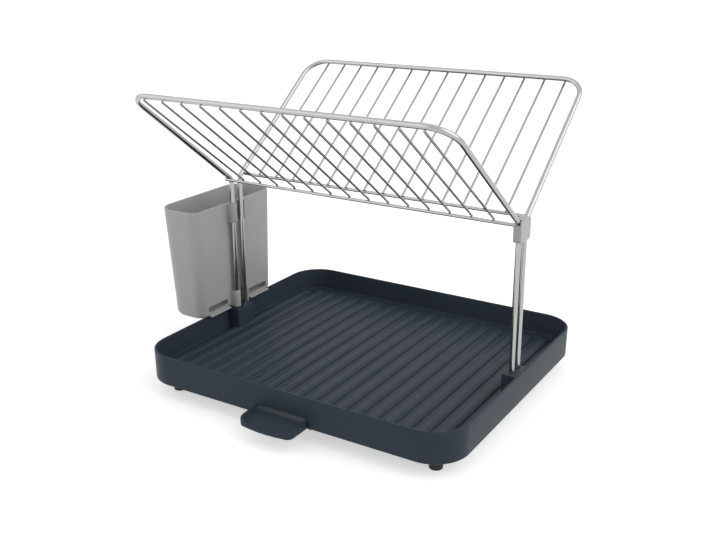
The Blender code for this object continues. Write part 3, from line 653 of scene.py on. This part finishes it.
def sweptRod(name, points, radius):
    # a round rod along points, as a mesh in the frame's metres
    curve = bpy.data.curves.new(name, "CURVE")
    curve.dimensions = "3D"
    curve.bevel_depth = radius / 1000
    curve.bevel_resolution = rack["rodRoundness"]
    curve.use_fill_caps = True
    spline = curve.splines.new("POLY")
    spline.points.add(len(points) - 1)
    for target, point in zip(spline.points, points):
        target.co = (*(point / 1000 + trayMiddle), 1)
    path = bpy.data.objects.new(name + "_path", curve)
    scene.collection.objects.link(path)
    graph = bpy.context.evaluated_depsgraph_get()
    mesh = bpy.data.meshes.new_from_object(path.evaluated_get(graph))
    bpy.data.objects.remove(path, do_unlink=True)
    mesh.name = name
    mend(mesh, join=0.000005)  # the caps to the tube
    shade(mesh, angle=50)
    item = bpy.data.objects.new(name, mesh)
    scene.collection.objects.link(item)
    return item


def straightRod(name, start, end, radius, endRound):
    # a cut length of wire with lightly rounded ends
    bm = bmesh.new()
    run = end - start
    bmesh.ops.create_cone(
        bm, cap_ends=True, cap_tris=False, segments=rack["wireSegments"], radius1=radius, radius2=radius,
        depth=run.length,
    )
    rims = [edge for edge in bm.edges if any(len(face.verts) > 4 for face in edge.link_faces)]
    roundEdges(bm, rims, endRound, segments=3)
    turn = run.to_track_quat("Z", "Y").to_matrix()
    bmesh.ops.rotate(bm, cent=(0, 0, 0), matrix=turn, verts=bm.verts)
    bmesh.ops.translate(bm, vec=(start + end) / 2, verts=bm.verts)
    return makeObject(name, bm, smoothAngle=50)


def addWeld(bm, place, size, turn):
    # a small flattened bead of weld
    made = bmesh.ops.create_icosphere(bm, subdivisions=2, radius=1.0)["verts"]
    bmesh.ops.scale(bm, vec=size, verts=made)
    bmesh.ops.rotate(bm, cent=(0, 0, 0), matrix=turn, verts=made)
    bmesh.ops.translate(bm, vec=place, verts=made)


def buildWing(label, side):
    rod = sweptRod(label + "_rod", framePath(side), rack["rod"])
    dress(rod, rodSteel, "rack", "steel", label + "_frame")
    barOut = rack["rod"] + rack["gap"] + rack["bar"]
    reach = rack["legX"] + rack["barOver"]
    ends = [onWing(x, rack["barAbove"], barOut, side) for x in (-reach, reach)]
    bar = straightRod(label + "_cross_bar", ends[0], ends[1], rack["bar"], rack["barRound"])
    dress(bar, rodSteel, "rack", "steel", label + "_bar")
    welds = bmesh.new()
    tilt = Matrix.Rotation(side * rack["slope"], 3, "X")
    onRod = rack["rod"] + rack["weldOut"]
    for x in (-rack["legX"], rack["legX"]):
        addWeld(welds, onWing(x, rack["barAbove"], onRod, side), rack["frameWeld"], tilt)
    lowOut = barOut - rack["bar"] - rack["gap"] - rack["wire"]
    highOut = rack["rod"] + rack["gap"] + rack["wire"]
    low, high = rack["barAbove"] - rack["wireBelow"], rack["length"] + rack["wirePast"]
    for i in range(rack["wires"]):
        x = (i - (rack["wires"] - 1) / 2) * rack["pitch"]
        wireName = label + "_wire_" + str(i + 1).zfill(2)
        ends = [onWing(x, low, lowOut, side), onWing(x, high, highOut, side)]
        pieceName = wireName.replace("wire", "plate_wire")
        wire = straightRod(pieceName, ends[0], ends[1], rack["wire"], rack["wireRound"])
        dress(wire, wireSteel, "rack", "steel", wireName)
        lowWeld = onWing(x, rack["barAbove"], lowOut + rack["wire"] + rack["weldOut"], side)
        addWeld(welds, lowWeld, rack["wireWeld"], tilt)
        addWeld(welds, onWing(x, rack["length"] - rack["weldBelow"], onRod, side), rack["wireWeld"], tilt)
    dress(makeObject(label + "_welds", welds, smoothAngle=60), wireSteel, "rack", "steel")


buildWing("front", -1)
buildWing("back", 1)
print("rack made")


# Clip on the right legs

clip = {
    "low": (185.5, -13.4, 203.0), "high": (194.7, 13.4, 226.4), "crown": 2.5, "corner": 3.5, "edge": 0.8,
    "bed": 3.3, "bedInner": 181.0, "bedOuter": 193.3, "bedBelow": 5, "bedAlong": 30, "crownCuts": 24,
    "sharp": 1.2,
}


def buildLegBed(side):
    # the room for one leg and the start of its wing, open towards the middle of the rack
    path = framePath(side)[:rack["bendSegments"] + 2]
    path[0].z = clip["low"][2] - clip["bedBelow"]
    path.append(onWing(rack["legX"], clip["bedAlong"], 0, side))
    bm = bmesh.new()
    chain = [bm.verts.new((clip["bedInner"], point.y, point.z)) for point in path]
    edges = [bm.edges.new(pair) for pair in zip(chain, chain[1:])]
    ribbon = bmesh.ops.extrude_edge_only(bm, edges=edges)["geom"]
    moved = [part for part in ribbon if isinstance(part, bmesh.types.BMVert)]
    bmesh.ops.translate(bm, vec=(clip["bedOuter"] - clip["bedInner"], 0, 0), verts=moved)
    bed = makeObject("clip_bed", bm)
    thick = bed.modifiers.new("thickness", "SOLIDIFY")
    thick.thickness = clip["bed"] * 2 / 1000
    thick.offset = 0
    thick.use_even_offset = True
    settle(bed)
    mend(bed.data)
    return bed


def buildClip():
    bm = bmesh.new()
    verts = block(bm, clip["low"], clip["high"])
    half = clip["high"][1]
    bottom = clip["low"][2] + sameLevel
    lower = [edge for edge in edgesWhere(verts, alongX) if edge.verts[0].co.z < bottom]
    roundEdges(bm, lower, clip["corner"], segments=7)
    for i in range(1, clip["crownCuts"]):
        sliceAt(bm, 1, -half + 2 * half * i / clip["crownCuts"], dist=0.0005)
    radius = (half * half + clip["crown"] ** 2) / (2 * clip["crown"])
    for vert in bm.verts:
        if vert.co.z > clip["high"][2] - sameLevel:
            vert.co.z += clip["crown"] - radius + math.sqrt(radius * radius - vert.co.y ** 2)
    bm.normal_update()
    ends = [
        edge for edge in bm.edges
        if len(edge.link_faces) == 2 and edge.calc_face_angle(0) > clip["sharp"]
        and abs(edge.verts[0].co.x - edge.verts[1].co.x) < samePlace
    ]
    roundEdges(bm, ends, clip["edge"], segments=4)
    cap = makeObject("leg_clip", bm, smoothAngle=40)
    return carve(cap, [buildLegBed(side) for side in (-1, 1)], smoothAngle=40)


dress(buildClip(), clipGrey, "clip", "clip", "clip")
print("clip made")


# Caddy on the left legs

caddy = {
    "wallX": -194.8, "middleY": 1.6, "topWidth": 60.4, "lowWidth": 52.4,
    "topLength": 153.1, "lowLength": 143.6, "top": 192.7, "bottom": 53.4, "wall": 2.2,
    "outerCorner": 22.6, "innerCorner": 11.5, "cornerSegments": 18, "bottomRound": 6.0,
    "bottomSegments": 8, "footRing": 8.5, "recess": 2.2, "floor": 57.8, "floorRound": 4.0,
    "floorSegments": 6, "rimSegments": 4,
    "slotReach": 39.8, "slotLength": 38.0, "slotLow": 59.2, "slotHigh": 67.2, "slotCorner": 1.0,
    "slotOut": 2, "rimRoom": 55.2, "rimRoomHalf": 150, "rimRoomPast": 4, "notchX": -207.0,
    "lipReach": 4.8, "lipRoot": 4.0, "lipHigh": 57.0, "lipEdge": 0.4,
    "sleeveWall": 2.0, "sleeveTurn": 140, "sleeveLow": (55.2, 76.4), "sleeveHigh": (167.5, 192.2),
    "sleeveEdge": 0.45, "sleeveCuts": 28,
}


def taperCaddy(bm):
    # each level is drawn in towards the bottom with its corners' radii kept; the wall beside the
    # tray stays upright
    for vert in bm.verts:
        down = (caddy["top"] - vert.co.z) / (caddy["top"] - caddy["bottom"])
        if vert.co.x < caddy["wallX"] - caddy["topWidth"] / 2:
            vert.co.x += (caddy["topWidth"] - caddy["lowWidth"]) * down
        drawn = (caddy["topLength"] - caddy["lowLength"]) / 2 * down
        vert.co.y -= math.copysign(drawn, vert.co.y - caddy["middleY"])


def buildCaddyBox():
    bm = bmesh.new()
    half = caddy["topLength"] / 2
    rimStart = caddy["top"] - caddy["wall"] / 2
    low = caddy["bottom"] + caddy["bottomRound"]
    verts = block(
        bm, (caddy["wallX"] - caddy["topWidth"], caddy["middleY"] - half, low),
        (caddy["wallX"], caddy["middleY"] + half, rimStart),
    )
    tall = edgesWhere(verts, upright)
    outer = [edge for edge in tall if edge.verts[0].co.x < caddy["wallX"] - caddy["topWidth"] / 2]
    inner = [edge for edge in tall if edge not in outer]
    roundEdges(bm, outer, caddy["outerCorner"], caddy["cornerSegments"])
    roundEdges(bm, inner, caddy["innerCorner"], caddy["cornerSegments"])
    bm.normal_update()
    under = farthestFace(bm, (0, 0, -1))
    stepIn(bm, [under], quarterSteps(caddy["bottomRound"], caddy["bottomSegments"], "steep"))
    stepIn(bm, [under], [(caddy["footRing"] - caddy["bottomRound"], 0.0), (0.0, -caddy["recess"])])
    top = farthestFace(bm, (0, 0, 1))
    stepIn(bm, [top], quarterSteps(caddy["wall"] / 2, caddy["rimSegments"], "steep"))
    stepIn(bm, [top], downwards(quarterSteps(caddy["wall"] / 2, caddy["rimSegments"], "flat")))
    filletTop = caddy["floor"] + caddy["floorRound"]
    stepIn(bm, [top], [(0.0, filletTop - rimStart)])
    stepIn(bm, [top], downwards(quarterSteps(caddy["floorRound"], caddy["floorSegments"], "steep")))
    taperCaddy(bm)
    return makeObject("cutlery_caddy", bm, smoothAngle=40)


def buildSleeve(low, high):
    # a strip that starts in the caddy's wall and is bent round the front leg
    bm = bmesh.new()
    bore = rack["rod"] + rack["gap"]
    middle = bore + caddy["sleeveWall"] / 2
    root = caddy["wallX"] - caddy["wall"] / 2 + rack["legX"]
    tip = middle * math.radians(caddy["sleeveTurn"])
    verts = block(bm, (root, bore, low), (tip, bore + caddy["sleeveWall"], high))
    roundEdges(bm, edgesWhere(verts), caddy["sleeveEdge"], segments=3)
    for i in range(caddy["sleeveCuts"]):
        sliceAt(bm, 0, tip * i / caddy["sleeveCuts"], dist=0.0005)
    for vert in bm.verts:
        angle = max(vert.co.x, 0) / middle - math.pi / 2
        along, radius = min(vert.co.x, 0), vert.co.y
        vert.co.x = -rack["legX"] + along + radius * math.cos(angle)
        vert.co.y = -rack["legY"] + radius * math.sin(angle)
    return makeObject("sleeve", bm)


def softBlock(name, low, high, edge):
    bm = bmesh.new()
    verts = block(bm, low, high)
    roundEdges(bm, edgesWhere(verts), edge, segments=3)
    return makeObject(name, bm)


def buildCaddyFittings():
    # sleeves round the front leg, ribs behind the back leg, and the lips under the drain slots
    fittings = []
    root = caddy["wallX"] - caddy["wall"] / 2
    backIn = rack["legY"] + rack["rod"] + rack["gap"]
    for low, high in (caddy["sleeveLow"], caddy["sleeveHigh"]):
        fittings.append(buildSleeve(low, high))
        ends = ((root, backIn, low), (-rack["legX"] + rack["rod"], backIn + caddy["sleeveWall"], high))
        fittings.append(softBlock("back_rib", ends[0], ends[1], caddy["sleeveEdge"]))
    for end in (-1, 1):
        middle = caddy["middleY"] + end * caddy["slotReach"]
        low = (caddy["wallX"] - caddy["lipRoot"], middle - caddy["slotLength"] / 2, caddy["rimRoom"])
        high = (caddy["wallX"] + caddy["lipReach"], middle + caddy["slotLength"] / 2, caddy["lipHigh"])
        fittings.append(softBlock("lip", low, high, caddy["lipEdge"]))
    return fittings


def buildCaddyCuts():
    # drain slots, and the room that the tray's rim takes under the inner wall
    cuts = []
    inner = caddy["wallX"] - caddy["wall"] - caddy["floorRound"]
    for end in (-1, 1):
        middle = caddy["middleY"] + end * caddy["slotReach"]
        bm = bmesh.new()
        verts = block(
            bm, (inner, middle - caddy["slotLength"] / 2, caddy["slotLow"]),
            (caddy["wallX"] + caddy["slotOut"], middle + caddy["slotLength"] / 2, caddy["slotHigh"]),
        )
        roundEdges(bm, edgesWhere(verts, alongX), caddy["slotCorner"], segments=4)
        cuts.append(makeObject("slot", bm))
    bm = bmesh.new()
    half, past = caddy["rimRoomHalf"], caddy["rimRoomPast"]
    low = (caddy["notchX"], -half, caddy["bottom"] - past)
    block(bm, low, (caddy["wallX"] + past, half, caddy["rimRoom"]))
    cuts.append(makeObject("rim_room", bm))
    return cuts


caddyBox = carve(buildCaddyBox(), buildCaddyFittings(), "UNION", smoothAngle=40)
carve(caddyBox, buildCaddyCuts(), smoothAngle=40)
dress(caddyBox, caddyGrey, "caddy", "caddy", "caddy")
print("caddy made")


# Pull-out spout

spout = {
    "half": 33.6, "wallY": -175.0, "front": -208.5, "bulge": 2.2, "corner": 8.0, "cornerSegments": 12,
    "tail": -162.5, "low": 18.0, "lowRound": 1.8, "lowSegments": 5, "highRound": 2.7,
    "rimLevel": 29.4, "lipLevel": 20.8, "brow": 26.0, "floor": 26.0, "dish": 19.9, "rim": 1.4,
    "draft": 4.0, "foot": 3.2, "footSlack": 0.1, "footRise": 0.4, "shell": 1.5, "inside": 3.1,
    "crestDrop": 0.3, "deckPace": 1.1, "edgeDrop": 0.5, "edgeReach": 0.6, "blend": 1.2,
    "hollowFrom": 0.8, "hollowOver": 0.9, "columnCuts": 31, "rowCuts": 46, "rowFrom": 0.6,
}
# insets from the outline inwards, close together where the rim is round
spoutInsets = (0.12, 0.16, 0.2, 0.24, 0.28, 0.3, 0.3, 0.4, 0.6, 0.8)


def frontLine(x):
    # the bowed front line at x, before the corners are rounded
    share = x / (spout["half"] - spout["corner"])
    return spout["front"] + spout["bulge"] * min(share * share, 1.0)


def depthInside(x, y):
    # how far a point of the plan lies inside the outline
    fromSide = spout["half"] - abs(x)
    fromFront = y - frontLine(x)
    corner = spout["corner"]
    if fromSide < corner and fromFront < corner:
        return corner - math.hypot(corner - fromSide, corner - fromFront)
    return min(fromSide, fromFront)


def rimLine(y):
    # side view of the rim: level with the floor inside the tray, then down to the lip in front
    if y > spout["wallY"] + spout["inside"]:
        return spout["floor"]
    fall = min(max((spout["front"] + spout["brow"] - y) / spout["brow"], 0.0), 1.0)
    return spout["rimLevel"] - (spout["rimLevel"] - spout["lipLevel"]) * (1 - math.sqrt(1 - fall * fall))


def deckLine(y):
    share = min(max((spout["wallY"] - y) / (spout["wallY"] - spout["front"]), 0.0), 1.0)
    crest = spout["floor"] - spout["crestDrop"]
    return crest - (crest - spout["dish"]) * smoothShare(share * spout["deckPace"])


def sideLine(x, y):
    # height of the dish's leaning side at a point of the plan
    radius = spout["corner"] - spout["rim"]
    past = max(spout["front"] + spout["bulge"] + spout["corner"] - y, 0.0)
    edge = spout["half"] - spout["corner"] + math.sqrt(max(radius * radius - past * past, 0.0))
    return spout["rimLevel"] - (edge - abs(x)) / spout["draft"] * (spout["rimLevel"] - spout["dish"])


def spoutTop(x, y):
    depth = depthInside(x, y)
    high = spout["highRound"]
    turn = max(high - (spout["half"] - abs(x)), 0.0) / high
    shoulder = spout["rimLevel"] - high * (1 - math.sqrt(max(1 - turn * turn, 0)))
    outside = 1 - min(depth / spout["edgeReach"], 1)
    edge = spout["edgeDrop"] * (1 - math.sqrt(max(1 - outside ** 2, 0)))
    rim = min(rimLine(y) - edge, shoulder)
    side, deck = sideLine(x, y), deckLine(y)
    blend = max(spout["blend"] - abs(side - deck), 0.0)
    hollow = min(max(side, deck) + blend * blend / (4 * spout["blend"]), rim)
    return rim + (hollow - rim) * smoothShare((depth - spout["hollowFrom"]) / spout["hollowOver"])


def buildSpout():
    bm = bmesh.new()
    verts = block(
        bm, (-spout["half"], spout["front"] + spout["bulge"], spout["low"] + spout["lowRound"]),
        (spout["half"], spout["tail"], spout["rimLevel"]),
    )
    corners = [edge for edge in edgesWhere(verts, upright) if edge.verts[0].co.y < spout["wallY"]]
    roundEdges(bm, corners, spout["corner"], spout["cornerSegments"])
    for i in range(-spout["columnCuts"], spout["columnCuts"] + 1):  # one cut each millimetre
        sliceAt(bm, 0, i, dist=0.001)
    for vert in bm.verts:
        if vert.co.y < spout["front"] + spout["bulge"] + sameLevel:
            share = vert.co.x / (spout["half"] - spout["corner"])
            vert.co.y -= spout["bulge"] * max(1 - share * share, 0)
    bm.normal_update()
    top = [face for face in bm.faces if face.normal.z > squareOn]
    stepIn(bm, top, [(step, 0) for step in spoutInsets])
    under = [face for face in bm.faces if face.normal.z < -squareOn]
    stepIn(bm, under, quarterSteps(spout["lowRound"], spout["lowSegments"], "steep"))
    stepIn(bm, under, [(spout["foot"] - spout["lowRound"], 0), (0.0, -spout["footRise"])])
    for i in range(spout["rowCuts"]):
        sliceAt(bm, 1, spout["front"] + spout["rowFrom"] + i, dist=0.001)
    hollow = spout["low"] + spout["footRise"]
    inner = spout["foot"] - spout["footSlack"]
    for vert in bm.verts:
        x, y, z = vert.co
        if z > spout["rimLevel"] - sameLevel:
            vert.co.z = spoutTop(x, y)
        elif abs(z - hollow) < sameLevel and depthInside(x, y) > inner:
            vert.co.z = max(deckLine(y) - spout["shell"], hollow)
    return makeObject("pour_spout", bm, smoothAngle=45)


dress(buildSpout(), slate, "spout", "tray", "spout")
print("spout made")


# Floor, light and camera

studio = {
    "world": 0.52, "floorColour": "#E6E6E6", "floorGlow": 0.54, "floorHalf": 8.0,
    "key": {"from": (0.80, 0.10, 0.55), "spread": 65, "power": 1.20},
    "fill": {"from": (-0.75, -0.65, 0.35), "spread": 70, "power": 0.64},
    "top": {"from": (-0.15, 0.0, 1.0), "spread": 80, "power": 0.15},
}


def addSeenRays(tree):
    # 1 for the rays that show the background: camera, glossy and transmission rays
    ray = addNode(tree, "ShaderNodeLightPath")
    seen = addNode(
        tree, "ShaderNodeMath", None, {0: ray.outputs["Is Camera Ray"], 1: ray.outputs["Is Glossy Ray"]},
        operation="MAXIMUM",
    )
    seenAll = addNode(
        tree, "ShaderNodeMath", None, {0: seen.outputs[0], 1: ray.outputs["Is Transmission Ray"]},
        operation="MAXIMUM",
    )
    return seenAll.outputs[0]


def buildFloor():
    bm = bmesh.new()
    bmesh.ops.create_grid(bm, x_segments=1, y_segments=1, size=studio["floorHalf"])
    mesh = bpy.data.meshes.new("studio_floor")
    bm.to_mesh(mesh)
    bm.free()
    floor = bpy.data.objects.new("studio_floor", mesh)
    scene.collection.objects.link(floor)
    material = bpy.data.materials.new("paintedBoardWhite")  # matt white board
    material.use_nodes = True
    tree = material.node_tree
    tree.nodes.clear()
    glowLevel = addNode(
        tree, "ShaderNodeMath", {1: studio["floorGlow"]}, {0: addSeenRays(tree)}, operation="MULTIPLY"
    )
    matt = addNode(tree, "ShaderNodeBsdfDiffuse", {"Color": fromHex(studio["floorColour"])})
    glow = addNode(tree, "ShaderNodeEmission", None, {"Strength": glowLevel.outputs[0]})
    both = addNode(tree, "ShaderNodeAddShader", None, {0: matt.outputs[0], 1: glow.outputs[0]})
    addNode(tree, "ShaderNodeOutputMaterial", None, {"Surface": both.outputs[0]})
    floor.data.materials.append(material)


def buildWorld():
    world = bpy.data.worlds.new("studioAir")
    scene.world = world
    world.use_nodes = True
    tree = world.node_tree
    tree.nodes.clear()
    level = addNode(
        tree, "ShaderNodeMapRange", {"To Min": studio["world"], "To Max": 1.0}, {"Value": addSeenRays(tree)}
    )
    air = addNode(
        tree, "ShaderNodeBackground", {"Color": (1, 1, 1, 1)}, {"Strength": level.outputs["Result"]}
    )
    addNode(tree, "ShaderNodeOutputWorld", None, {"Surface": air.outputs[0]})


def addLamp(name, lamp):
    # a broad, distant softbox
    data = bpy.data.lights.new(name, "SUN")
    data.angle = math.radians(lamp["spread"])
    data.energy = lamp["power"]
    item = bpy.data.objects.new(name, data)
    item.rotation_mode = "QUATERNION"
    item.rotation_quaternion = Vector(lamp["from"]).to_track_quat("Z", "Y")
    scene.collection.objects.link(item)


view = {
    "place": (539.999, -896.224, 502.549), "turn": 0.557075, "tilt": -0.314692, "roll": -0.003560,
    "focalPixels": 945.751, "widthPixels": 716, "sensor": 36, "shift": (0.007112, -0.029727),
}


def placeCamera():
    data = bpy.data.cameras.new("studioCamera")
    data.sensor_width = view["sensor"]
    data.lens = view["focalPixels"] * view["sensor"] / view["widthPixels"]
    data.shift_x, data.shift_y = view["shift"]
    item = bpy.data.objects.new("studioCamera", data)
    turn, tilt, roll = view["turn"], view["tilt"], view["roll"]
    ahead = Vector((-math.sin(turn) * math.cos(tilt), math.cos(turn) * math.cos(tilt), math.sin(tilt)))
    right = ahead.cross(Vector((0, 0, 1))).normalized()
    up = right.cross(ahead)
    side = right * math.cos(roll) + up * math.sin(roll)
    top = up * math.cos(roll) - right * math.sin(roll)
    pose = Matrix((side, top, -ahead)).transposed().to_4x4()
    pose.translation = Vector(view["place"]) / 1000 + trayMiddle
    item.matrix_world = pose
    scene.collection.objects.link(item)
    scene.camera = item


buildFloor()
buildWorld()
addLamp("keySoftbox", studio["key"])
addLamp("fillSoftbox", studio["fill"])
addLamp("topSoftbox", studio["top"])
placeCamera()
scene.view_settings.view_transform = "Standard"
print("studio made")
